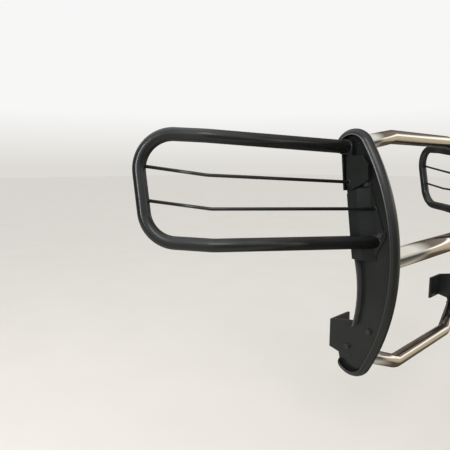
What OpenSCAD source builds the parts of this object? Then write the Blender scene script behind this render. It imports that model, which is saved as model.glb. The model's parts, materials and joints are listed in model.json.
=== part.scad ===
// Front grille guard for a full-size truck or sport utility vehicle.
// Two bowed uprights carry three stainless crossbars and a bent-tube cage
// round each headlamp. The guard bolts to the front ends of the frame.
// Millimetres. X runs across the vehicle, -Y points forward, Z is up.
// The origin is the middle of the frame bolt pattern, on the mounting plane.

/* [Uprights] */
// Distance from the centre plane to the middle of each upright
upright_x = 420; // [415:1:425]
// Thickness of the upright plate
web_t = 5; // [4:0.5:6]
// Radius of the bow, measured to the crown of the rim
bow_r = 695; // [690:1:700]
// Radius of the round ends of the upright, to the crown of the rim
lobe_r = 60; // [59:0.5:61]
// Angle of the upper round end above the middle of the bow
top_angle = 31.2; // [31:0.1:31.4]
// Angle of the lower round end below the middle of the bow
bottom_angle = 27.1; // [26.9:0.1:27.3]
// Half width of the half-round rim
rim_r = 20; // [19:0.5:21]
// Wall of the half-round rim
rim_wall = 2.5; // [2:0.5:3]
// How far the lower rear flange stands outboard of the plate's middle
flange_w = 25; // [20:1:28]
// How far the upper rear flange stands outboard of the plate's middle
upper_flange_w = 18; // [14:1:22]
// Thickness of the rear flange
flange_t = 4; // [3:0.5:5]

/* [Crossbars] */
// Outside diameter of the top and lower crossbars
bar_d = 44.45; // [44:0.05:45]
// Outside diameter of the middle crossbar
mid_bar_d = 63.5; // [60:0.5:64]
// Wall of the crossbar tubes
bar_wall = 2; // [1.5:0.5:3]
// Centre-line radius of the crossbar bends
bar_bend_r = 65; // [60:1:80]

/* [Headlamp cages] */
// Outside diameter of the cage tube
cage_d = 38.1; // [36:0.1:40]
// Wall of the cage tube
cage_wall = 2; // [1.5:0.5:3]
// Centre-line radius of the cage's outer corners
cage_corner_r = 95; // [85:1:98]
// Centre-line radius of the cage's slight bends
cage_kink_r = 120; // [100:1:150]
// Diameter of the cage rods
rod_d = 9.5; // [8:0.5:10]
// Thickness of the cage plate's foot
cage_plate_t = 5; // [4:0.5:6]
// Thickness of the cage plate's raised parts
cage_hat_t = 4; // [3:0.5:5]

/* [Frame brackets] */
// Thickness of the frame bracket
bracket_t = 8; // [6:1:10]
// Height of the bracket's bolting flange
bracket_h = 90; // [80:1:100]
// Width of the bracket's bolting flange
bracket_w = 100; // [90:1:110]
// Distance between the left and right frame bolts
frame_bolt_x = 730; // [720:1:740]
// Distance between the upper and lower frame bolts
frame_bolt_z = 50; // [40:1:54]
// Diameter of the frame bolt holes
frame_hole_d = 13.5; // [12.5:0.5:14]

/* [Hidden] */

BLACK = [0.09, 0.10, 0.10];
STEEL = [0.78, 0.77, 0.74];
ZINC = [0.30, 0.31, 0.31];

$fn = 64;

// Planes across the vehicle, as distances from the centre plane
web_in = upright_x - web_t / 2;
web_out = upright_x + web_t / 2;
cage_in = web_out + cage_plate_t;
bracket_in = web_in - bracket_t;

// Bow of the upright in the Y-Z plane
bow_c = [480, 240];
lobe_path_r = bow_r - lobe_r;
top_lobe = bow_c + lobe_path_r * [-cos(top_angle), sin(top_angle)];
bottom_lobe = bow_c + lobe_path_r * [-cos(bottom_angle), -sin(bottom_angle)];
top_start = 180 - top_angle;
bottom_start = 180 + bottom_angle;
top_rim_end = 35;
bottom_rim_end = 312;
// The half round is a little less than half a circle deep
rim_base = 2;
// Room between the plate's edge and the inside of the rim
web_clear = 0.4;

// Rear edge: an arc below, then a line that leans back, then a steeper one
rear_c = [295, 155];
rear_r = 400;
rear_lean = 14;
rear_tangent = rear_c + rear_r * [-cos(rear_lean), sin(rear_lean)];
upper_lean = 5.5;
knee_z = 452;
flange_low_z = 54;
flange_mid_z = 257;
flange_top_z = 556;

// Ear of the plate that reaches back to the frame bracket
ear_top = [-68, 45];
ear_tip = [-10, -44];
ear_root = [-36, -45];

// Crossbar ends on the uprights, and the ends of their straight middles
top_bar_end = [-77, 585];
top_bar_mid = [215, -65, 614];
middle_bar_end = [-155, 251];
low_bar_end = [-75, -45];
low_bar_mid = [205, -112, -125];
plug_len = 12;
plug_bore = 6.8;

// Corner points of the right-hand cage, from the upper end to the lower
cage_top_in = [-420, -63, 575];
cage_top_kink = [-775, 177, 606];
cage_top_out = [-905, 332, 618];
cage_low_out = [-905, 279, 315];
cage_low_kink = [-785, 133, 308];
cage_low_in = [-420, -142, 310.5];
// Height at which each rod meets the outer tube, and its other points
upper_rod = [[-420, -79, 476], [-780, 163, 499]];
upper_rod_out_z = 526;
lower_rod = [[-420, -143, 404.7], [-780, 147, 407]];
lower_rod_out_z = 430;
rod_bend_r = 60;

// Lower raised part of the cage plate: a hat section that leans with the upright,
// given as [X, Y] in the horizontal plane at hat_z
hat_z = 390;
hat_lean = 7.5;
hat_x = 452;
hat_toe_y = -129.5;
hat_front_y = -103;
hat_rear_y = -71;
hat_bottom_z = 258;
hat_top_z = 461;
hat_top_rear_z = 441;

// Upper raised part, just outboard of the rim, on which the upper cage tube and rod end
land_x = 444.5;
land_rear_y = -57;
land_top_z = 552;
land_bottom_z = 470;
land_points = [
    [land_rear_y, land_bottom_z], [land_rear_y, land_top_z], [-101, land_top_z],
    [-122, 528], [-125, 486], [-99, 468], [-76, 458]
];
// Tab of the raised part under the end of the upper cage tube
tab_at = [-46.5, 577];
tab_r = 21.5;
tab_reach = 4;
tab_neck = 14;

// A bend is drawn a hair thinner than the straights, which reach a little way into it
bend_thinning = 0.1;
bend_overlap = 0.6;

// Fasteners: hex bolts are [diameter, across flats, head height]
m10 = [10, 16, 6.4];
m8 = [8, 13, 5.3];
bracket_bolt_at = [[-136, 44], [-67, -22]];
cage_bolt_at = [[-112, 472], [-160, 332]];
screw_head_r = 8;
screw_r = 4;
washer_t = 1.6;
gap = 0.1;
big = 400;

function unit(v) = v / norm(v);
function arc(c, r, a0, a1, n) =
    [for (i = [0:n]) c + r * [cos(a0 + (a1 - a0) * i / n), sin(a0 + (a1 - a0) * i / n)]];
// Y of the rear edge at height z, moved forward by offset
function rear_arc_y(z, offset) = rear_c.x - sqrt(pow(rear_r + offset, 2) - pow(z - rear_c.y, 2));
function rear_line_y(z, offset) =
    rear_tangent.x + (z - rear_tangent.y) * tan(rear_lean) - offset / cos(rear_lean);
function rear_knee_y(z, offset) = rear_line_y(knee_z, offset) + (z - knee_z) * tan(upper_lean);
function rear_y(z, offset) = z < rear_tangent.y ? rear_arc_y(z, offset) :
    z < knee_z ? rear_line_y(z, offset) : rear_knee_y(z, offset);
// Point of the outer cage tube's centre line at height z
function cage_outer(z) =
    cage_low_out + (cage_top_out - cage_low_out) * (z - cage_low_out.z) / (cage_top_out.z - cage_low_out.z);

// Sets children drawn in the Y-Z plane between two planes across the vehicle
module plate(x0, x1) {
    translate([x0, 0, 0]) rotate([90, 0, 90]) linear_extrude(x1 - x0) children();
}

// Turns a profile of [radius, X] about an axis along X
module turned(c, a0, a1) {
    translate([0, c.x, c.y]) rotate([90, 0, 90]) rotate([0, 0, a0])
        rotate_extrude(angle = a1 - a0, $fn = 180) children();
}

// Places children at a point, with their Z and X axes along two directions
module placed(at, z_dir, x_dir) {
    y_dir = cross(z_dir, x_dir);
    multmatrix([
        [x_dir.x, y_dir.x, z_dir.x, at.x],
        [x_dir.y, y_dir.y, z_dir.y, at.y],
        [x_dir.z, y_dir.z, z_dir.z, at.z],
        [0, 0, 0, 1]
    ]) children();
}

// A rod along X through [y, z], from plane x0 to plane x1
module x_rod(at, x0, x1, r) {
    translate([x0, at.x, at.y]) rotate([0, 90, 0]) cylinder(h = x1 - x0, r = r);
}

// A round bar from a to b
module straight(a, b, d) {
    z_dir = unit(b - a);
    placed(a, z_dir, unit(cross(z_dir, [0.3, 0.2, 1]))) cylinder(h = norm(b - a), d = d);
}

// One bend of a round bar that comes in along d1 and leaves along d2
module bend(corner, d1, d2, d, r) {
    turn = acos(d1 * d2);
    n = unit(d2 - d1 * (d1 * d2));
    start = corner - d1 * r * tan(turn / 2);
    placed(start + n * r, cross(d1, n), -n)
        rotate_extrude(angle = turn) translate([r, 0]) circle(d = d - 2 * bend_thinning);
}

// A round bar along corner points, with one bend radius for each inner corner
module bent_bar(p, d, radii) {
    last = len(p) - 1;
    dirs = [for (i = [0:last - 1]) unit(p[i + 1] - p[i])];
    cut = [for (i = [0:last]) i == 0 || i == last ? 0 :
        radii[i - 1] * tan(acos(dirs[i - 1] * dirs[i]) / 2) - bend_overlap];
    for (i = [0:last - 1])
        straight(p[i] + dirs[i] * cut[i], p[i + 1] - dirs[i] * cut[i + 1], d);
    for (i = [1:last - 1])
        bend(p[i], dirs[i - 1], dirs[i], d, radii[i - 1]);
}

module bent_tube(p, d, wall, radii) {
    difference() {
        bent_bar(p, d, radii);
        bent_bar(p, d - 2 * wall, radii);
    }
}

module hex_bolt(size, grip) {
    translate([0, 0, -grip]) cylinder(h = grip, d = size.x - 2 * gap);
    cylinder(h = size.z, r = size.y / sqrt(3), $fn = 6);
}

module washer(size) {
    difference() {
        cylinder(h = washer_t, r = size.y * 0.62);
        translate([0, 0, -1]) cylinder(h = washer_t + 2, d = size.x + 0.5);
    }
}

// Points a fastener's head outboard at [y, z] on the plane x of the right side
module outboard(at, x) {
    translate([-x, at.x, at.y]) rotate([0, -90, 0]) children();
}

module both_sides() {
    children();
    mirror([1, 0, 0]) children();
}

// ---- uprights, drawn on the right-hand side ----

function web_points() = concat(
    arc(bow_c, bow_r - rim_wall - web_clear, bottom_start, top_start, 32),
    arc(top_lobe, lobe_r - rim_wall - web_clear, top_start, top_rim_end, 20),
    [for (z = [flange_top_z + 4, knee_z]) [rear_y(z, flange_t), z]],
    [for (i = [0:12]) let (z = rear_tangent.y - i * (rear_tangent.y - flange_low_z) / 12)
        [rear_y(z, flange_t), z]],
    [ear_top, ear_tip, ear_root],
    arc(bottom_lobe, lobe_r - rim_wall - web_clear, bottom_rim_end, bottom_start, 20)
);

module upright_plate() {
    color(BLACK) difference() {
        plate(-web_out, -web_in) polygon(web_points());
        for (at = bracket_bolt_at) x_rod(at, -web_out - 1, -web_in + 1, m10.x / 2 + 0.5);
        for (at = cage_bolt_at) x_rod(at, -web_out - 1, -web_in + 1, m8.x / 2 + 0.5);
        for (at = [top_bar_end, middle_bar_end, low_bar_end]) {
            x_rod(at, -web_out - 1, -web_in + 1, screw_r + 0.5);
            outboard(at, web_out) translate([0, 0, -screw_head_r / 2 - gap])
                cylinder(h = screw_head_r / 2 + gap, r1 = screw_head_r / 2 + gap, r2 = screw_head_r + 2 * gap);
        }
    }
}

// A half round seen end on, on a path of the given crown radius
module rim_profile(crown_r, r, base) {
    translate([crown_r - rim_r, -upright_x]) intersection() {
        circle(r = r);
        translate([base, -r - 1]) square([r, 2 * r + 2]);
    }
}

// Rounded end of a half round, at angle a round a lobe
module rim_cap(lobe, a, r, base) {
    translate([-upright_x, lobe.x, lobe.y] + (lobe_r - rim_r) * [0, cos(a), sin(a)])
        intersection() {
            sphere(r = r);
            rotate([a, 0, 0]) translate([-r - 1, base, -r - 1]) cube([2 * r + 2, r, 2 * r + 2]);
        }
}

// A solid half round along the bow and both ends; the joints overlap by a hair
module half_round(r, base) {
    lap = bend_overlap;
    thin = bend_thinning;
    turned(bow_c, top_start, bottom_start) rim_profile(bow_r, r, base);
    turned(top_lobe, top_rim_end, top_start + lap) rim_profile(lobe_r, r - thin, base + thin);
    turned(bottom_lobe, bottom_start - lap, bottom_rim_end) rim_profile(lobe_r, r - thin, base + thin);
    rim_cap(top_lobe, top_rim_end, r - 2 * thin, base + 2 * thin);
    rim_cap(bottom_lobe, bottom_rim_end, r - 2 * thin, base + 2 * thin);
}

// The rim is notched where the top crossbar's leg passes its inboard lip
module upright_rim() {
    leg_end = [-web_in, top_bar_end.x, top_bar_end.y];
    leg_top = [-top_bar_mid.x, top_bar_mid.y, top_bar_mid.z];
    color(BLACK) difference() {
        half_round(rim_r, rim_base);
        half_round(rim_r - rim_wall, rim_base - 1);
        straight(leg_end, leg_top, bar_d + 1);
    }
}

module lower_flange() {
    color(BLACK)
        turned(rear_c, 180 - asin((flange_mid_z - rear_c.y) / rear_r),
            180 - asin((flange_low_z - rear_c.y) / rear_r))
            translate([rear_r, -upright_x - flange_w]) square([flange_t, flange_w + web_t / 2]);
}

module upper_flange() {
    length = (flange_top_z - knee_z) / cos(upper_lean);
    color(BLACK) translate([0, rear_y(knee_z, 0), knee_z]) rotate([-upper_lean, 0, 0])
        translate([-upright_x - upper_flange_w, -flange_t, 0])
            cube([upper_flange_w + web_t / 2, flange_t, length]);
}

module frame_bracket() {
    half = bracket_h / 2;
    color(BLACK) difference() {
        union() {
            plate(-web_in, -bracket_in) {
                polygon([
                    [-136, 66], [-60, 58], [0, half], [0, -half],
                    [-96, -half - 22], [-104, -40], [-158, 40]
                ]);
                translate(bracket_bolt_at[0]) circle(r = 22);
                translate(low_bar_end) circle(r = bar_d / 2 + 5);
            }
            translate([-web_in, -bracket_t, -half]) cube([bracket_w, bracket_t, bracket_h]);
        }
        for (at = bracket_bolt_at) x_rod(at, -web_in - 1, -bracket_in + 1, m10.x / 2);
        x_rod(low_bar_end, -web_in - 1, -bracket_in + 1, screw_r + 0.5);
        for (s = [-1, 1])
            translate([-frame_bolt_x / 2, 1, s * frame_bolt_z / 2]) rotate([90, 0, 0])
                cylinder(h = bracket_t + 2, d = frame_hole_d);
    }
}

// ---- crossbars, drawn whole ----

function bar_points(end, mid, x) = [
    [-x, end.x, end.y], [-mid.x, mid.y, mid.z], mid, [x, end.x, end.y]
];

// The bar's outline beyond the planes on which its ends stand
module beyond(x) {
    for (s = [-1, 1]) translate([s * (x + big / 2), -100, 250]) cube([big, 800, 1400], center = true);
}

module bar(end, mid, x, d, wall) {
    p = bar_points(end, mid, x);
    // The outer legs run on through the end planes and are cut there
    run = 40;
    q = [p[0] - unit(p[1] - p[0]) * run, p[1], p[2], p[3] + unit(p[3] - p[2]) * run];
    difference() {
        bent_tube(q, d, wall, [bar_bend_r, bar_bend_r]);
        beyond(x);
    }
}

module top_crossbar() {
    color(STEEL) bar(top_bar_end, top_bar_mid, web_in, bar_d, bar_wall);
}

module lower_crossbar() {
    color(STEEL) bar(low_bar_end, low_bar_mid, bracket_in, bar_d, bar_wall);
}

module middle_crossbar() {
    color(STEEL) difference() {
        x_rod(middle_bar_end, -web_in, web_in, mid_bar_d / 2);
        x_rod(middle_bar_end, -web_in - 1, web_in + 1, mid_bar_d / 2 - bar_wall);
    }
}

// Threaded plugs that close the ends of a crossbar
module plugs(end, mid, x, d) {
    a = [-x, end.x, end.y];
    z_dir = unit([-mid.x, mid.y, mid.z] - a);
    color(ZINC) both_sides() difference() {
        intersection() {
            placed(a - z_dir * 30, z_dir, unit(cross(z_dir, [0, 0.2, 1])))
                cylinder(h = 90, d = d - 2 * bar_wall - 2 * gap);
            translate([-x, end.x - 50, end.y - 50]) cube([plug_len, 100, 100]);
        }
        x_rod(end, -x - 1, -x + plug_len + 1, plug_bore / 2);
    }
}

// ---- headlamp cages, drawn on the right-hand side ----

module inboard_of(x) {
    translate([-x, -300, 0]) cube([200, 600, 800]);
}

// The space inboard of the faces on which the cage's tube and rods end
module inboard_of_ends() {
    inboard_of(cage_in);
    translate([-land_x, -300, knee_z]) cube([200, 600, 300]);
}

// The cage's tube, whose ends run on inboard and are cut flush with the cage plate
module cage_bar(d) {
    p = [
        cage_top_in, cage_top_kink, cage_top_out, cage_low_out, cage_low_kink, cage_low_in
    ];
    run = 60;
    q = [
        p[0] - unit(p[1] - p[0]) * run, p[1], p[2], p[3], p[4], p[5] + unit(p[5] - p[4]) * run
    ];
    bent_bar(q, d, [cage_kink_r, cage_corner_r, cage_corner_r, cage_kink_r]);
}

module cage_loop() {
    color(BLACK) difference() {
        cage_bar(cage_d);
        cage_bar(cage_d - 2 * cage_wall);
        inboard_of_ends();
    }
}

module cage_rod(points, out_z) {
    run = 30;
    start = points[0] - unit(points[1] - points[0]) * run;
    color(BLACK) difference() {
        bent_bar([start, points[1], cage_outer(out_z)], rod_d, [rod_bend_r]);
        inboard_of_ends();
        cage_bar(cage_d);
    }
}

// Lower raised part: a slanted front, an outboard face and a rear wall
module hat() {
    x1 = -cage_in + 2;
    t = cage_hat_t;
    intersection() {
        translate([0, 0, hat_z]) rotate([-hat_lean, 0, 0]) linear_extrude(400, center = true)
            polygon([
                [x1, hat_toe_y - 2], [-hat_x, hat_front_y], [-hat_x, hat_rear_y], [x1, hat_rear_y],
                [x1, hat_rear_y - t], [t - hat_x, hat_rear_y - t],
                [t - hat_x, hat_front_y + t * 0.42], [x1, hat_toe_y - 2 + t * 1.44]
            ]);
        plate(-hat_x - 1, -web_out - 1) polygon([
            [-200, hat_bottom_z], [0, hat_bottom_z], [0, hat_top_rear_z],
            [-58, hat_top_rear_z], [-100, hat_top_z], [-200, hat_top_z]
        ]);
    }
}

// Upper raised part: a face on a rear wall, with a tab above it
module land() {
    t = cage_hat_t;
    plate(-land_x, -cage_in + 1)
        translate([land_rear_y - t, land_bottom_z]) square([t, land_top_z - land_bottom_z]);
    plate(-land_x, t - land_x) {
        polygon(land_points);
        translate([land_rear_y - tab_neck, land_top_z - 1]) square([tab_neck, tab_at.y - land_top_z]);
        for (s = [-1, 1]) translate(tab_at + [s * tab_reach, 0]) circle(r = tab_r);
        translate(tab_at - [tab_reach, tab_r]) square([2 * tab_reach, 2 * tab_r]);
    }
}

module cage_plate() {
    ear_r = 15;
    color(BLACK) difference() {
        union() {
            plate(-cage_in, -web_out) {
                polygon([
                    [hat_rear_y - (hat_z - hat_bottom_z) * tan(hat_lean), hat_bottom_z],
                    [rear_y(knee_z, flange_t + 2), knee_z],
                    [rear_y(land_top_z, flange_t + 2), land_top_z],
                    [-92, land_top_z], [-116, 526],
                    [-124, 468], [-174, 325], [-142, hat_bottom_z]
                ]);
                for (at = cage_bolt_at) translate(at) circle(r = ear_r);
            }
            hat();
            land();
        }
        for (at = cage_bolt_at) x_rod(at, -cage_in - 1, -web_out + 1, m8.x / 2 + 0.5);
        difference() {
            cage_bar(cage_d + 2 * gap);
            inboard_of_ends();
        }
    }
}

// ---- fasteners ----

module crossbar_screws() {
    color(ZINC) both_sides()
        for (s = [[top_bar_end, 15], [middle_bar_end, 15], [low_bar_end, 15 + bracket_t]])
            outboard(s[0], web_out) {
                translate([0, 0, -s[1]]) cylinder(h = s[1], r = plug_bore / 2 - gap);
                translate([0, 0, -screw_head_r / 2])
                    cylinder(h = screw_head_r / 2, r1 = screw_head_r / 2, r2 = screw_head_r);
            }
}

module bracket_bolts() {
    color(ZINC) both_sides() for (at = bracket_bolt_at)
        outboard(at, web_out + washer_t) hex_bolt(m10, washer_t + web_t + bracket_t);
}

module bracket_washers() {
    color(ZINC) both_sides() for (at = bracket_bolt_at) outboard(at, web_out) washer(m10);
}

module cage_bolts() {
    color(ZINC) both_sides() for (at = cage_bolt_at)
        outboard(at, cage_in + washer_t) hex_bolt(m8, washer_t + cage_plate_t + web_t + 10);
}

module cage_washers() {
    color(ZINC) both_sides() for (at = cage_bolt_at) outboard(at, cage_in) washer(m8);
}

module cage_nuts() {
    nut_h = 6.5;
    color(ZINC) both_sides() for (at = cage_bolt_at)
        outboard(at, web_in) translate([0, 0, -nut_h]) difference() {
            cylinder(h = nut_h, r = m8.y / sqrt(3), $fn = 6);
            translate([0, 0, -1]) cylinder(h = nut_h + 2, d = m8.x);
        }
}

module left() {
    mirror([1, 0, 0]) children();
}

upright_plate();  // right_upright_plate
left() upright_plate();  // left_upright_plate
upright_rim();  // right_upright_rim
left() upright_rim();  // left_upright_rim
lower_flange();  // right_lower_flange
left() lower_flange();  // left_lower_flange
upper_flange();  // right_upper_flange
left() upper_flange();  // left_upper_flange
frame_bracket();  // right_frame_bracket
left() frame_bracket();  // left_frame_bracket
top_crossbar();
middle_crossbar();
lower_crossbar();
plugs(top_bar_end, top_bar_mid, web_in, bar_d);  // top_crossbar_plugs
plugs(middle_bar_end, [0, middle_bar_end.x, middle_bar_end.y], web_in, mid_bar_d);  // middle_crossbar_plugs
plugs(low_bar_end, low_bar_mid, bracket_in, bar_d);  // lower_crossbar_plugs
cage_loop();  // right_cage_loop
left() cage_loop();  // left_cage_loop
cage_plate();  // right_cage_plate
left() cage_plate();  // left_cage_plate
cage_rod(upper_rod, upper_rod_out_z);  // right_upper_rod
left() cage_rod(upper_rod, upper_rod_out_z);  // left_upper_rod
cage_rod(lower_rod, lower_rod_out_z);  // right_lower_rod
left() cage_rod(lower_rod, lower_rod_out_z);  // left_lower_rod
crossbar_screws();
bracket_bolts();
bracket_washers();
cage_bolts();
cage_washers();
cage_nuts();
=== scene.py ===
"""Front grille guard: powder-coated uprights and headlamp cages, polished stainless crossbars."""
import json
import math

import bmesh
import bpy
from mathutils import Euler, Matrix, Vector


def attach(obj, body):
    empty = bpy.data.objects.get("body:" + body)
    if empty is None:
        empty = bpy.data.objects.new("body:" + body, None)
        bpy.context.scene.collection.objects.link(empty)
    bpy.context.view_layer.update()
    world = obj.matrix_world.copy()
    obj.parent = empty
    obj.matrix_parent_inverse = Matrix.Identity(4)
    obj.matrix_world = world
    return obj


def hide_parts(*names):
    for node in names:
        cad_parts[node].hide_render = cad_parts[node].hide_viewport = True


MM = 0.001

# Sizes of the CAD part, in millimetres. The first five are distances from the centre plane.
UPRIGHT_X = 420
WEB_IN = 417.5
PLATE_OUT = 427.5
LAND_OUT = 444.5
BRACKET_IN = 409.5
BAR_D = 44.45
MID_BAR_D = 63.5
BAR_BEND_R = 65
CAGE_D = 38.1
CAGE_CORNER_R = 95
CAGE_KINK_R = 120
ROD_D = 9.5
ROD_BEND_R = 60
RIM_R = 20
RIM_BASE = 2
RIM_WALL = 2.5

# Bow of the uprights and its round ends, in a plane of Y and Z, with angles in degrees
BOW_C = (480, 240)
BOW_R = 695
LOBE_R = 60
TOP_ANGLE = 31.2
LOW_ANGLE = 27.1
TOP_RIM_END = 35
LOW_RIM_END = 312


def lobe_centre(angle):
    """Centre of a round end, at an angle above (or, if negative, below) the middle of the bow."""
    reach = BOW_R - LOBE_R
    turn = math.radians(angle)
    return BOW_C[0] - reach * math.cos(turn), BOW_C[1] + reach * math.sin(turn)


TOP_LOBE = lobe_centre(TOP_ANGLE)
LOW_LOBE = lobe_centre(-LOW_ANGLE)

# Corner points of the tubes and rods. Those of the cage are the vehicle's right-hand side's.
CAGE = [
    (-420, -63, 575), (-775, 177, 606), (-905, 332, 618),
    (-905, 279, 315), (-785, 133, 308), (-420, -142, 310.5),
]
UPPER_ROD = [(-420, -79, 476), (-780, 163, 499), (-905, 315.9, 526)]
LOWER_ROD = [(-420, -143, 404.7), (-780, 147, 407), (-905, 299.1, 430)]
TOP_BAR = [(-WEB_IN, -77, 585), (-215, -65, 614), (215, -65, 614), (WEB_IN, -77, 585)]
LOW_BAR = [(-BRACKET_IN, -75, -45), (-205, -112, -125), (205, -112, -125), (BRACKET_IN, -75, -45)]
MID_BAR = [(-WEB_IN, -155, 251), (WEB_IN, -155, 251)]
# A direction that none of them runs along
OFF_LINE = (0.3, 0.2, 1)

# Details that only the visual model has, in millimetres
ROLL_D = 3.4
PLATE_BEVEL = 0.8
FASTENER_BEVEL = 0.4
TOP_RAIL_WELD = 1.5
LOW_RAIL_WELD = 1.8
ROD_WELD = 1.4
ROD_TIP_WELD = 1.3
# How far the middle of a bead stands off its tube, as a share of its radius, or off its rod
WELD_OFF_TUBE = 0.25
WELD_OFF_ROD = 0.4
# Share of its radius by which the rolled edge lies within the rim's outline
ROLL_SUNK = 0.6
# Distance between the points of a bead, and between the ripples that its puddle leaves
WELD_STEP = 0.8
WELD_PITCH = 3.6
# Slower unevenness of a bead, in radians per millimetre
WELD_DRIFT = 0.37
# Points that lie nearer to each other than this are one point
MERGE_D = 0.01

# Steps round a bow and a round end, half a rim's section, and angles in degrees
BOW_STEPS = 60
LOBE_STEPS = 36
SECTION_STEPS = 16
ARC_STEP = 3.0
FLAT_ANGLE = 0.3
SHARP_ANGLE = 40

# Camera: its place in metres, its angles in degrees, and its lens
CAMERA_AT = (-1.503, -0.729, 0.522)
CAMERA_YAW = 41.4
CAMERA_PITCH = 7.98
CAMERA_ROLL = 0.14
LENS_MM = 33.32
SENSOR_MM = 36

# Stage, in metres
FLOOR_Z = -0.465
FLOOR_REACH = 40
# Brightness of the even sky that lights whatever isn't a mirror
SKY = 0.85
# Colour of the far floor, which the backdrop takes up at the horizon
FLOOR_SEEN = (0.73, 0.71, 0.67)
BACKDROP = (0.93, 0.93, 0.925)
# Ways to the darker parts of the mirrored surroundings: right and rear, rear, and front
DARK_CORNER = (-0.87, 0.49, 0)
DARK_REAR = (0.35, 0.94, 0)
DARK_FRONT = (-0.25, -0.97, 0)

# Painted light: the paler colour that faces pointing up are blended towards, as if lit from above
PAINTED_TOP_LIGHT = (0.050, 0.052, 0.050, 1)


# ---- node helpers ----

def new_material(name):
    """A material with its node tree and its shader."""
    mat = bpy.data.materials.new(name)
    mat.use_nodes = True
    return mat, mat.node_tree, mat.node_tree.nodes["Principled BSDF"]


def noise(tree, coords, scale, detail=4.0, roughness=0.5, stretch=None):
    node = tree.nodes.new("ShaderNodeTexNoise")
    node.inputs["Scale"].default_value = scale
    node.inputs["Detail"].default_value = detail
    node.inputs["Roughness"].default_value = roughness
    source = coords
    if stretch:
        mapping = tree.nodes.new("ShaderNodeMapping")
        mapping.inputs["Scale"].default_value = stretch
        tree.links.new(coords, mapping.inputs["Vector"])
        source = mapping.outputs["Vector"]
    tree.links.new(source, node.inputs["Vector"])
    return node.outputs["Fac"]


def ramp(tree, value, stops):
    """A colour ramp; each stop is (position, (r, g, b))."""
    node = tree.nodes.new("ShaderNodeValToRGB")
    elements = node.color_ramp.elements
    while len(elements) < len(stops):
        elements.new(0.5)
    for element, (place, colour) in zip(elements, stops):
        element.position = place
        element.color = (*colour, 1)
    tree.links.new(value, node.inputs["Fac"])
    return node.outputs["Color"]


def two_tone(tree, value, dark, light):
    """A noise's middle range as a blend from one colour to another."""
    return ramp(tree, value, [(0.3, dark), (0.7, light)])


def map_range(tree, value, source, target):
    node = tree.nodes.new("ShaderNodeMapRange")
    node.inputs["From Min"].default_value, node.inputs["From Max"].default_value = source
    node.inputs["To Min"].default_value, node.inputs["To Max"].default_value = target
    tree.links.new(value, node.inputs["Value"])
    return node.outputs["Result"]


def spread(tree, value, low, high):
    """A noise's middle range as numbers from low to high."""
    return map_range(tree, value, (0.3, 0.7), (low, high))


def mixed(tree, factor, low, high):
    """A colour mix; low and high are colours or sockets."""
    node = tree.nodes.new("ShaderNodeMix")
    node.data_type = "RGBA"
    tree.links.new(factor, node.inputs["Factor"])
    for socket, colour in ((node.inputs["A"], low), (node.inputs["B"], high)):
        if isinstance(colour, tuple):
            socket.default_value = colour
        else:
            tree.links.new(colour, socket)
    return node.outputs["Result"]


def product(tree, first, second):
    node = tree.nodes.new("ShaderNodeMath")
    node.operation = "MULTIPLY"
    tree.links.new(first, node.inputs[0])
    tree.links.new(second, node.inputs[1])
    return node.outputs["Value"]


def toward(tree, way, target, span):
    """0 away from the target way, 1 near it; span is the two cosines between which it rises."""
    node = tree.nodes.new("ShaderNodeVectorMath")
    node.operation = "DOT_PRODUCT"
    node.inputs[1].default_value = target
    tree.links.new(way, node.inputs[0])
    return map_range(tree, node.outputs["Value"], span, (0, 1))


def split_xyz(tree, vector):
    node = tree.nodes.new("ShaderNodeSeparateXYZ")
    tree.links.new(vector, node.inputs["Vector"])
    return node.outputs


def bump(tree, height, strength, distance, under=None):
    node = tree.nodes.new("ShaderNodeBump")
    node.inputs["Strength"].default_value = strength
    node.inputs["Distance"].default_value = distance
    tree.links.new(height, node.inputs["Height"])
    if under:
        tree.links.new(under, node.inputs["Normal"])
    return node.outputs["Normal"]


def object_coords(tree):
    return tree.nodes.new("ShaderNodeTexCoord").outputs["Object"]


# ---- materials ----

def powder_coat(name, dark, light):
    """Semi-gloss black powder coat: fine orange peel, an uneven tone, and painted light that makes
    faces pointing up paler, in patches.
    """
    mat, tree, shader = new_material(name)
    at = object_coords(tree)
    tone_patches = noise(tree, at, 9, 5, 0.6)
    facing = split_xyz(tree, tree.nodes.new("ShaderNodeNewGeometry").outputs["Normal"])
    # Painted top light: faces that point up are blended towards a paler colour, in patches
    faces_up = map_range(tree, facing["Z"], (0.3, 1), (0, 1))
    top_light_mask = product(tree, faces_up, spread(tree, tone_patches, 0.5, 1))
    colour = mixed(tree, top_light_mask, two_tone(tree, tone_patches, dark, light), PAINTED_TOP_LIGHT)
    tree.links.new(colour, shader.inputs["Base Color"])
    sheen = spread(tree, noise(tree, at, 24, 6, 0.65), 0.17, 0.26)
    tree.links.new(sheen, shader.inputs["Roughness"])
    shader.inputs["Specular IOR Level"].default_value = 0.4
    peel = bump(tree, noise(tree, at, 900, 2), 0.12, 0.0006)
    waves = bump(tree, noise(tree, at, 160, 2), 0.06, 0.001, peel)
    tree.links.new(waves, shader.inputs["Normal"])
    return mat


def painted_highlight_coat():
    """The coat on the rim's rolled edge, with a painted highlight: a pale line that fades down the
    bow.
    """
    mat, tree, shader = new_material("painted_highlight_coat")
    at = object_coords(tree)
    height = map_range(tree, split_xyz(tree, at)["Z"], (0.33, 0.50), (0, 1))
    # Painted highlight: paler towards the top of the bow, where light catches the edge, with a
    # little random unevenness
    highlight_mask = product(tree, height, spread(tree, noise(tree, at, 30, 4), 0.75, 1.0))
    colour = mixed(tree, highlight_mask, (0.030, 0.031, 0.029, 1), (0.13, 0.128, 0.123, 1))
    tree.links.new(colour, shader.inputs["Base Color"])
    shader.inputs["Roughness"].default_value = 0.3
    return mat


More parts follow.
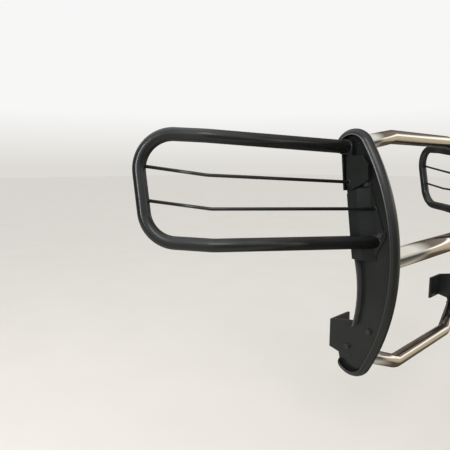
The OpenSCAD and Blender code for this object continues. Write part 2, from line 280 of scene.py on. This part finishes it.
def stainless():
    """Mirror-polished stainless tube with faint polishing lines round it."""
    mat, tree, shader = new_material("stainless")
    at = object_coords(tree)
    lines = noise(tree, at, 60, 3, 0.6, stretch=(14, 1, 1))
    shader.inputs["Metallic"].default_value = 1.0
    tint = two_tone(tree, noise(tree, at, 7, 3), (0.58, 0.545, 0.475), (0.66, 0.625, 0.56))
    tree.links.new(tint, shader.inputs["Base Color"])
    tree.links.new(spread(tree, lines, 0.07, 0.13), shader.inputs["Roughness"])
    tree.links.new(bump(tree, lines, 0.02, 0.0005), shader.inputs["Normal"])
    return mat


def black_zinc():
    """Dark plated fasteners, a little more metallic than the coat."""
    mat, tree, shader = new_material("black_zinc")
    at = object_coords(tree)
    shader.inputs["Metallic"].default_value = 0.5
    tint = two_tone(tree, noise(tree, at, 140, 4), (0.030, 0.032, 0.031), (0.055, 0.057, 0.055))
    tree.links.new(tint, shader.inputs["Base Color"])
    tree.links.new(spread(tree, noise(tree, at, 300, 3), 0.25, 0.42), shader.inputs["Roughness"])
    return mat


def plain_steel():
    """The bare steel of the plugs inside the crossbars."""
    mat, tree, shader = new_material("plain_steel")
    at = object_coords(tree)
    shader.inputs["Metallic"].default_value = 1.0
    tint = two_tone(tree, noise(tree, at, 80, 4), (0.30, 0.30, 0.29), (0.40, 0.40, 0.38))
    tree.links.new(tint, shader.inputs["Base Color"])
    shader.inputs["Roughness"].default_value = 0.35
    return mat


def floor_paint():
    mat, tree, shader = new_material("floor_paint")
    at = object_coords(tree)
    tint = two_tone(tree, noise(tree, at, 3, 3), (0.80, 0.77, 0.72), (0.82, 0.79, 0.74))
    tree.links.new(tint, shader.inputs["Base Color"])
    shader.inputs["Roughness"].default_value = 0.9
    return mat


# ---- mesh helpers ----

def to_object(name, mesh):
    data = bpy.data.meshes.new(name)
    bmesh.ops.recalc_face_normals(mesh, faces=mesh.faces)
    mesh.to_mesh(data)
    mesh.free()
    piece = bpy.data.objects.new(name, data)
    bpy.context.collection.objects.link(piece)
    return piece


def skin_ring(mesh, low, high):
    """Smooth faces between two closed rings of the same number of points."""
    count = len(low)
    for k in range(count):
        n = (k + 1) % count
        mesh.faces.new((low[k], low[n], high[n], high[k])).smooth = True


def skin_rows(mesh, rows):
    """Smooth faces between rows of points that are open at their ends."""
    for low, high in zip(rows, rows[1:]):
        for k in range(len(low) - 1):
            mesh.faces.new((low[k], low[k + 1], high[k + 1], high[k])).smooth = True


def soften_edges(piece, width):
    """Rounds a piece's sharp edges by a small bevel, given in millimetres."""
    bevel = piece.modifiers.new("bevel", "BEVEL")
    bevel.width = width * MM
    bevel.segments = 2
    bevel.limit_method = "ANGLE"
    bevel.angle_limit = math.radians(SHARP_ANGLE)
    bevel.harden_normals = True


def finish_piece(piece, material, slot, *nodes):
    """Gives a new piece its material, hangs it on the root body, and hides the CAD nodes that it
    replaces; slot is not used.
    """
    piece.data.materials.append(material)
    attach(piece, "root")
    if nodes:
        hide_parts(*nodes)


def mirrored(corners, side):
    """Corner points of the vehicle's right-hand side, put on side -1 (right) or 1 (left)."""
    return [(-side * x, y, z) for x, y, z in corners]


# ---- swept tubes ----

def bent_path(corners, radii):
    """Points and directions along corner points, with an arc at each inner corner."""
    corners = [Vector(c) for c in corners]
    points = [corners[0]]
    ways = [(corners[1] - corners[0]).normalized()]
    for i in range(1, len(corners) - 1):
        come = (corners[i] - corners[i - 1]).normalized()
        go = (corners[i + 1] - corners[i]).normalized()
        turn = come.angle(go)
        radius = radii[i - 1]
        start = corners[i] - come * radius * math.tan(turn / 2)
        side = (go - come * come.dot(go)).normalized()
        centre = start + side * radius
        count = max(3, math.ceil(math.degrees(turn) / ARC_STEP))
        for k in range(count + 1):
            a = turn * k / count
            points.append(centre - side * radius * math.cos(a) + come * radius * math.sin(a))
            ways.append((come * math.cos(a) + side * math.sin(a)).normalized())
    points.append(corners[-1])
    ways.append((corners[-1] - corners[-2]).normalized())
    return points, ways


def tube(name, corners, radii, diameter, cut_start=None, cut_end=None, sides=96):
    """A round tube. cut_start and cut_end are planes of constant X on which its ends stand."""
    points, ways = bent_path(corners, radii)
    last = len(points) - 1
    mesh = bmesh.new()
    rings = []
    across = ways[0].cross(Vector(OFF_LINE)).normalized()
    for index, (point, way) in enumerate(zip(points, ways)):
        across = (across - way * across.dot(way)).normalized()
        other = way.cross(across)
        plane = cut_start if index == 0 else cut_end if index == last else None
        ring = []
        for k in range(sides):
            a = 2 * math.pi * k / sides
            at = point + (across * math.cos(a) + other * math.sin(a)) * diameter / 2
            if plane is not None:
                at = at + way * (plane - at.x) / way.x
            ring.append(mesh.verts.new(at * MM))
        rings.append(ring)
    for low, high in zip(rings, rings[1:]):
        skin_ring(mesh, low, high)
    mesh.faces.new(list(reversed(rings[0])))
    mesh.faces.new(rings[-1])
    return to_object(name, mesh)


def add_tubes(coat, steel):
    bars = {
        "top_bar": ("top_crossbar", TOP_BAR, BAR_D, WEB_IN),
        "low_bar": ("lower_crossbar", LOW_BAR, BAR_D, BRACKET_IN),
        "mid_bar": ("middle_crossbar", MID_BAR, MID_BAR_D, WEB_IN),
    }
    for name, (node, corners, diameter, end) in bars.items():
        piece = tube(name, corners, [BAR_BEND_R] * 2, diameter, -end, end, sides=128)
        finish_piece(piece, steel, "polished_stainless", node)
    cage_radii = [CAGE_KINK_R, CAGE_CORNER_R, CAGE_CORNER_R, CAGE_KINK_R]
    for side, word in ((-1, "right"), (1, "left")):
        upper, lower = side * LAND_OUT, side * PLATE_OUT
        piece = tube(word + "_cage_tube", mirrored(CAGE, side), cage_radii, CAGE_D, upper, lower)
        finish_piece(piece, coat, "black_powder_coat", word + "_cage_loop")
        for rod, corners, end in (("upper_rod", UPPER_ROD, upper), ("lower_rod", LOWER_ROD, lower)):
            points = mirrored(corners, side)
            piece = tube(f"{word}_{rod}_bar", points, [ROD_BEND_R], ROD_D, end, sides=48)
            finish_piece(piece, coat, "black_powder_coat", f"{word}_{rod}")


# ---- welds and other beads ----

def bead(name, loop, normals, radius, closed=True, ripple=0.10, squash=0.75, sides=10):
    """A bead along points; a weld's is low, and rippled as its puddle leaves it."""
    mesh = bmesh.new()
    count = len(loop)
    run = 0.0
    rings = []
    for i, (point, normal) in enumerate(zip(loop, normals)):
        ahead = loop[(i + 1) % count] if closed or i < count - 1 else point * 2 - loop[i - 1]
        behind = loop[i - 1] if closed or i > 0 else point * 2 - ahead
        way = (ahead - behind).normalized()
        up = (normal - way * normal.dot(way)).normalized()
        side = way.cross(up)
        waves = math.sin(2 * math.pi * run / WELD_PITCH) + 0.5 * math.sin(run * WELD_DRIFT)
        swell = 1 + ripple * waves
        ring = []
        for k in range(sides):
            a = 2 * math.pi * k / sides
            offset = (up * math.cos(a) * squash + side * math.sin(a)) * radius * swell
            ring.append(mesh.verts.new((point + offset) * MM))
        rings.append(ring)
        run += (ahead - point).length
    following = rings[1:] + rings[:1] if closed else rings[1:]
    for low, high in zip(rings, following):
        skin_ring(mesh, low, high)
    if not closed:
        mesh.faces.new(rings[0])
        mesh.faces.new(rings[-1])
    return to_object(name, mesh)


def end_weld(name, inner, outer, plane, tube_r, radius):
    """The bead round a tube that stands slantwise on a plane of constant X."""
    inner, outer = Vector(inner), Vector(outer)
    way = (outer - inner).normalized()
    across = way.cross(Vector((0, 0, 1))).normalized()
    other = way.cross(across)
    outboard = Vector((math.copysign(1, plane), 0, 0))
    loop, normals = [], []
    count = round(2 * math.pi * tube_r / WELD_STEP)
    for k in range(count):
        a = 2 * math.pi * k / count
        out = across * math.cos(a) + other * math.sin(a)
        at = inner + out * (tube_r + radius * WELD_OFF_TUBE)
        at += way * ((plane - at.x) / way.x)
        loop.append(at)
        normals.append((out + outboard).normalized())
    return bead(name, loop, normals, radius)


def rod_weld(name, inner, outer, tube_a, tube_b):
    """The bead where a rod ends on the cage's outer tube."""
    inner, outer = Vector(inner), Vector(outer)
    tube_a, tube_b = Vector(tube_a), Vector(tube_b)
    axis = (tube_b - tube_a).normalized()
    way = (inner - outer).normalized()
    across = way.cross(axis).normalized()
    other = way.cross(across)

    def from_axis(at):
        return (at - tube_a) - axis * (at - tube_a).dot(axis)

    loop, normals = [], []
    count = round(2 * math.pi * ROD_D / 2 / WELD_STEP) * 2
    for k in range(count):
        a = 2 * math.pi * k / count
        out = across * math.cos(a) + other * math.sin(a)
        at = outer + out * (ROD_D / 2 + WELD_OFF_ROD)
        # Slide along the rod until the point lies on the tube's surface
        for _ in range(6):
            off = from_axis(at)
            at = at + way * (CAGE_D / 2 - off.length) / max(0.3, way.dot(off.normalized()))
        loop.append(at)
        normals.append((out + from_axis(at).normalized()).normalized())
    return bead(name, loop, normals, ROD_TIP_WELD)


# ---- rims ----

def rim_path(side):
    """Centres of the rim's half-round section and the way out at each, from the upper end down."""
    bow, top, low = (Vector((side * UPRIGHT_X, *c)) for c in (BOW_C, TOP_LOBE, LOW_LOBE))
    sweeps = [
        (top, LOBE_R - RIM_R, TOP_RIM_END, 180 - TOP_ANGLE, LOBE_STEPS),
        (bow, BOW_R - RIM_R, 180 - TOP_ANGLE, 180 + LOW_ANGLE, BOW_STEPS),
        (low, LOBE_R - RIM_R, 180 + LOW_ANGLE, LOW_RIM_END, LOBE_STEPS),
    ]
    stations = []
    for centre, reach, first, last, count in sweeps:
        for k in range(count + 1):
            a = math.radians(first + (last - first) * k / count)
            out = Vector((0, math.cos(a), math.sin(a)))
            at = centre + out * reach
            # Where two sweeps meet, the second begins at the station where the first ends
            if not stations or (at - stations[-1][0]).length > MERGE_D:
                stations.append((at, out))
    return stations


def rim_band(name, side):
    """An upright's rim in one length: a half-round band swept along the bow, with domed ends."""
    stations = rim_path(side)
    across = Vector((side, 0, 0))
    steps = SECTION_STEPS
    mesh = bmesh.new()

    def vertex(at, out, aside, radius, turn):
        return mesh.verts.new((at + (out * math.cos(turn) + aside * math.sin(turn)) * radius) * MM)

    layers = []
    for radius in (RIM_R, RIM_R - RIM_WALL):
        reach = math.acos(RIM_BASE / radius)
        turns = [reach * (k / steps - 1) for k in range(2 * steps + 1)]
        body = [[vertex(at, out, across, radius, turn) for turn in turns] for at, out in stations]
        skin_rows(mesh, body)
        lips = [[row[0] for row in body], [row[-1] for row in body]]
        for index, next_one in ((0, 1), (-1, -2)):
            at, out = stations[index]
            way = (at - stations[next_one][0]).normalized()
            way = (way - out * way.dot(out)).normalized()
            dome = []
            for j in range(2 * steps + 1):
                a = math.pi * j / (2 * steps)
                aside = across * math.cos(a) + way * math.sin(a)
                row = [vertex(at, out, aside, radius, reach * k / steps) for k in range(steps + 1)]
                dome.append(row)
            skin_rows(mesh, dome)
            lips.append([row[-1] for row in dome])
        layers.append(lips)
    # Close the gap between the outer and the inner layer along every lip
    for outer, inner in zip(*layers):
        skin_rows(mesh, [outer, inner])
    bmesh.ops.remove_doubles(mesh, verts=mesh.verts, dist=MERGE_D * MM)
    piece = to_object(name, mesh)
    soften_edges(piece, PLATE_BEVEL)
    return piece


def rolled_edge(name, side):
    """The rolled outboard edge of an upright's rim."""
    radius = ROLL_D / 2
    depth = math.sqrt(RIM_R ** 2 - RIM_BASE ** 2)
    outboard = Vector((side, 0, 0))
    aside = outboard * (depth - radius * ROLL_SUNK)
    loop = [at + out * (RIM_BASE + radius) + aside for at, out in rim_path(side)]
    return bead(name, loop, [outboard] * len(loop), radius, closed=False, ripple=0, squash=1)


def add_rims_and_welds(coat, edge_highlight_coat):
    tube_r, rod_r = CAGE_D / 2, ROD_D / 2
    for side, word in ((-1, "right"), (1, "left")):
        land, plane = side * LAND_OUT, side * PLATE_OUT
        cage = mirrored(CAGE, side)
        upper = mirrored(UPPER_ROD, side)
        lower = mirrored(LOWER_ROD, side)
        welds = [
            end_weld(word + "_weld_top_rail", cage[0], cage[1], land, tube_r, TOP_RAIL_WELD),
            end_weld(word + "_weld_low_rail", cage[5], cage[4], plane, tube_r, LOW_RAIL_WELD),
            end_weld(word + "_weld_upper_rod", upper[0], upper[1], land, rod_r, ROD_WELD),
            end_weld(word + "_weld_lower_rod", lower[0], lower[1], plane, rod_r, ROD_WELD),
            rod_weld(word + "_weld_upper_out", upper[1], upper[2], cage[3], cage[2]),
            rod_weld(word + "_weld_lower_out", lower[1], lower[2], cage[3], cage[2]),
        ]
        for piece in welds:
            finish_piece(piece, coat, "black_powder_coat")
        rim = rim_band(word + "_rim", side)
        finish_piece(rim, coat, "black_powder_coat", word + "_upright_rim")
        finish_piece(rolled_edge(word + "_rim_edge", side), edge_highlight_coat, "black_powder_coat")


# ---- CAD nodes ----

def dress_nodes(frame, by_slot):
    """Gives each CAD node its material, and softens the edges of plates and fasteners."""
    slots = {s["node"]: s["material_slot"] for s in frame["record"]["subparts"]}
    for name, node in frame["nodes"].items():
        node.data.materials.clear()
        node.data.materials.append(by_slot[slots[name]])
        for face in node.data.polygons:
            face.material_index = 0
        weld = node.modifiers.new("weld", "WELD")
        weld.merge_threshold = MERGE_D * MM
        # The triangles of a flat face become one face, so that the bevel leaves no marks on it
        flat = node.modifiers.new("flat", "DECIMATE")
        flat.decimate_type = "DISSOLVE"
        flat.angle_limit = math.radians(FLAT_ANGLE)
        is_fastener = "bolt" in name or "nut" in name or "washer" in name
        soften_edges(node, FASTENER_BEVEL if is_fastener else PLATE_BEVEL)


# ---- stage ----

def add_camera():
    data = bpy.data.cameras.new("camera")
    data.sensor_width = SENSOR_MM
    data.lens = LENS_MM
    camera = bpy.data.objects.new("camera", data)
    bpy.context.collection.objects.link(camera)
    look = Euler((math.radians(90 - CAMERA_PITCH), 0, math.radians(-CAMERA_YAW)), "XYZ").to_matrix()
    roll = Matrix.Rotation(math.radians(-CAMERA_ROLL), 3, "Z")
    camera.matrix_world = Matrix.Translation(CAMERA_AT) @ (look @ roll).to_4x4()
    bpy.context.scene.camera = camera


def add_floor():
    mesh = bmesh.new()
    reach = FLOOR_REACH
    corners = [(-reach, -reach), (reach, -reach), (reach, reach), (-reach, reach)]
    mesh.faces.new([mesh.verts.new((x, y, FLOOR_Z)) for x, y in corners])
    floor = to_object("floor", mesh)
    floor.data.materials.append(floor_paint())
    # The tubes mirror the soft ground of the world instead, so that they stand out from the floor
    floor.visible_glossy = False


def add_area(name, at, target, size, power, colour=(1, 1, 1)):
    data = bpy.data.lights.new(name, "AREA")
    data.shape = "RECTANGLE"
    data.size, data.size_y = size
    data.energy = power
    data.color = colour
    light = bpy.data.objects.new(name, data)
    bpy.context.collection.objects.link(light)
    light.location = at
    light.rotation_euler = (Vector(target) - Vector(at)).to_track_quat("-Z", "Y").to_euler()


def mirrored_surroundings(tree, way, axes, height):
    """What glossy surfaces mirror: a sky over ground, with darker and banded parts.

    Its ramps run from straight down (0) through the horizon (0.5) to straight up (1).
    """
    sky = ramp(tree, height, [
        (0.0, (0.60, 0.58, 0.53)), (0.46, (0.62, 0.60, 0.56)), (0.52, (0.90, 0.90, 0.90)),
        (0.75, (1.15, 1.17, 1.2)),
    ])
    # On the left: brown ground, a tan wall, a white band, and a dim sky
    banded_sky = ramp(tree, height, [
        (0.0, (0.10, 0.085, 0.065)), (0.29, (0.13, 0.105, 0.08)), (0.39, (0.62, 0.54, 0.40)),
        (0.575, (0.74, 0.67, 0.53)), (0.60, (1.7, 1.7, 1.7)), (0.66, (1.6, 1.6, 1.6)),
        (0.69, (0.30, 0.26, 0.235)), (1.0, (0.24, 0.22, 0.20)),
    ])
    # On the left and rearward
    rear_sky = ramp(tree, height, [
        (0.46, (0.10, 0.085, 0.07)), (0.53, (0.32, 0.28, 0.25)), (0.62, (0.17, 0.14, 0.12)),
    ])
    front_sky = ramp(tree, height, [
        (0.30, (0.25, 0.24, 0.23)), (0.44, (0.10, 0.10, 0.10)), (0.52, (0.12, 0.12, 0.12)),
        (0.60, (0.70, 0.70, 0.70)), (0.75, (1.15, 1.17, 1.2)),
    ])
    rear = map_range(tree, axes["Y"], (-0.05, 0.06), (0, 1))
    left = map_range(tree, axes["X"], (0.1, 0.5), (0, 1))
    seen = mixed(tree, left, sky, mixed(tree, rear, banded_sky, rear_sky))
    above = map_range(tree, axes["Z"], (-0.32, -0.06), (0, 0.96))
    corner = product(tree, toward(tree, way, DARK_CORNER, (0.62, 0.88)), above)
    seen = mixed(tree, corner, seen, (0, 0, 0, 1))
    seen = mixed(tree, toward(tree, way, DARK_FRONT, (0.70, 0.88)), seen, front_sky)
    return mixed(tree, toward(tree, way, DARK_REAR, (0.72, 0.9)), seen, (0.08, 0.08, 0.08, 1))


def add_world():
    """An even soft sky for light, a pale backdrop for the camera, and surroundings to mirror."""
    world = bpy.data.worlds.new("world")
    bpy.context.scene.world = world
    world.use_nodes = True
    tree = world.node_tree
    background = tree.nodes["Background"]
    way = tree.nodes.new("ShaderNodeTexCoord").outputs["Generated"]
    axes = split_xyz(tree, way)
    height = map_range(tree, axes["Z"], (-1, 1), (0, 1))
    surroundings = mirrored_surroundings(tree, way, axes, height)
    path = tree.nodes.new("ShaderNodeLightPath")
    bounced = mixed(tree, path.outputs["Is Glossy Ray"], (SKY, SKY, SKY, 1), surroundings)
    backdrop = ramp(tree, height, [(0.5, FLOOR_SEEN), (0.56, BACKDROP)])
    seen = mixed(tree, path.outputs["Is Camera Ray"], bounced, backdrop)
    tree.links.new(seen, background.inputs["Color"])
    background.inputs["Strength"].default_value = 1.0


# ---- the scene ----

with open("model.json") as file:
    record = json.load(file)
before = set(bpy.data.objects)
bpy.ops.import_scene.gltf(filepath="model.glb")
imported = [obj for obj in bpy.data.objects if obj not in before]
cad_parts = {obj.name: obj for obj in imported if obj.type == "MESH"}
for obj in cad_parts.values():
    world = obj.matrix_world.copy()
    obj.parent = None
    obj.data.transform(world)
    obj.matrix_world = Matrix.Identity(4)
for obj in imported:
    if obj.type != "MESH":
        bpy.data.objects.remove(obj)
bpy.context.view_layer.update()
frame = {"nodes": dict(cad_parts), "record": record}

coat = powder_coat("powder_coat", (0.0100, 0.0118, 0.0110), (0.0150, 0.0168, 0.0158))
# A paler coat for the lower flanges: painted light, standing in for the light that falls on their
# front faces
flange_painted_light_coat = powder_coat("flange_painted_light_coat", (0.055, 0.056, 0.055), (0.075, 0.076, 0.075))
steel = stainless()
dress_nodes(frame, {
    "black_powder_coat": coat,
    "polished_stainless": steel,
    "black_fasteners": black_zinc(),
    "plain_steel": plain_steel(),
})
# The lower flanges take the paler coat, which is painted light
for side_word in ("right", "left"):
    frame["nodes"][side_word + "_lower_flange"].data.materials[0] = flange_painted_light_coat
# The flush screws are coated over with the uprights
frame["nodes"]["crossbar_screws"].data.materials[0] = coat
add_tubes(coat, steel)
add_rims_and_welds(coat, painted_highlight_coat())
add_floor()
add_area("key", (-3.2, -2.6, 3.2), (0, 0, 0.25), (2.4, 1.6), 50, (1.0, 0.98, 0.95))
add_area("edge", (-3.4, 0.1, 1.1), (-0.42, -0.1, 0.45), (0.4, 1.4), 30)
add_world()
add_camera()
bpy.context.scene.view_settings.view_transform = "Standard"
